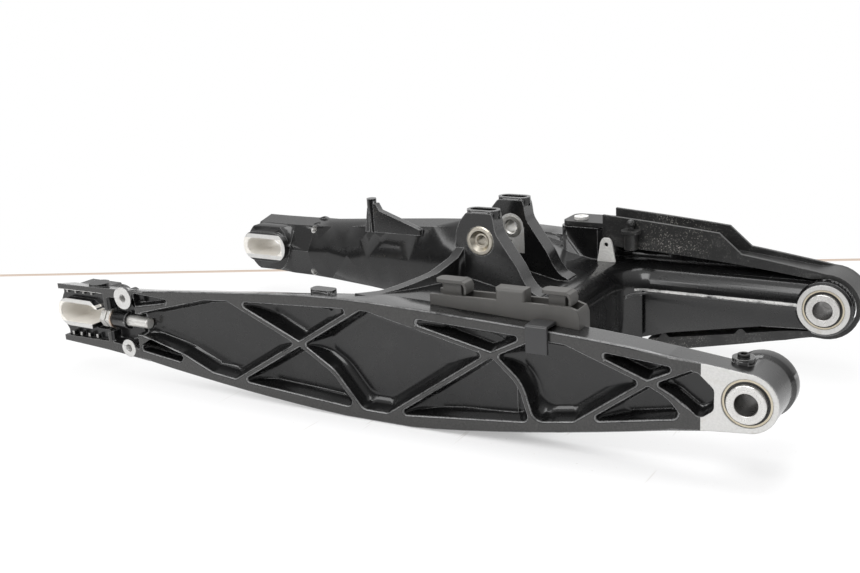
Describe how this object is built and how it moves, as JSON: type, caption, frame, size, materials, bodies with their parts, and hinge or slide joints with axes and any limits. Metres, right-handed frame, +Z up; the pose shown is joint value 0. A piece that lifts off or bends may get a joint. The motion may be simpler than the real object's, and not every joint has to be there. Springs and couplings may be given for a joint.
{
  "type": "motorcycle swingarm",
  "caption": "Black die-cast double-sided swingarm with open lattice arms, bridge with shock absorber ears, pivot bearings, chain adjusters, chain slider and hose guide.",
  "frame": {"origin": "middle of the pivot axis, halfway between the outer faces of the two pivot bosses", "axes": "+X to the front of the motorcycle, from the axle to the pivot; +Y to its left (chain) side along the pivot axis; +Z up"},
  "size_m": [0.6533, 0.3054, 0.1487],
  "materials": {
    "casting": "gloss black powder coat, machined faces bare",
    "turned_steel": "turned, dull",
    "fastener_steel": "zinc plated",
    "bush_steel": "turned",
    "seal_rubber": "satin",
    "slider_plastic": "worn, dusty",
    "guide_plastic": "fine grain",
    "clip_plastic": "gloss"
  },
  "bodies": {
    "swingarm": {"chain_slider": "slider_plastic", "edge_clip": "clip_plastic", "hose_guide": "guide_plastic", "left_adjuster_bolt": "fastener_steel", "left_adjuster_nut": "fastener_steel", "left_adjuster_washer": "fastener_steel", "left_pivot_bearing": "turned_steel", "left_pivot_seals": "seal_rubber", "pivot_plug": "fastener_steel", "right_adjuster_bolt": "fastener_steel", "right_adjuster_nut": "fastener_steel", "right_adjuster_washer": "fastener_steel", "right_pivot_bearing": "turned_steel", "right_pivot_seals": "seal_rubber", "shock_plain_bush": "bush_steel", "shock_threaded_bush": "bush_steel", "slider_push_pin": "slider_plastic", "slider_screw": "fastener_steel", "slider_tab": "fastener_steel", "swingarm_casting": "casting"},
    "right_sleeve": {"right_pivot_sleeve": "turned_steel", "right_pivot_collars": "turned_steel"},
    "left_sleeve": {"left_pivot_sleeve": "turned_steel", "left_pivot_collars": "turned_steel"}
  },
  "joints": [
    {"name": "right_sleeve_turn", "type": "hinge", "parent": "swingarm", "child": "right_sleeve", "pos_m": [0, -0.108, 0], "axis": [0, 1, 0], "continuous": true},
    {"name": "left_sleeve_turn", "type": "hinge", "parent": "swingarm", "child": "left_sleeve", "pos_m": [0, 0.108, 0], "axis": [0, 1, 0], "continuous": true}
  ]
}
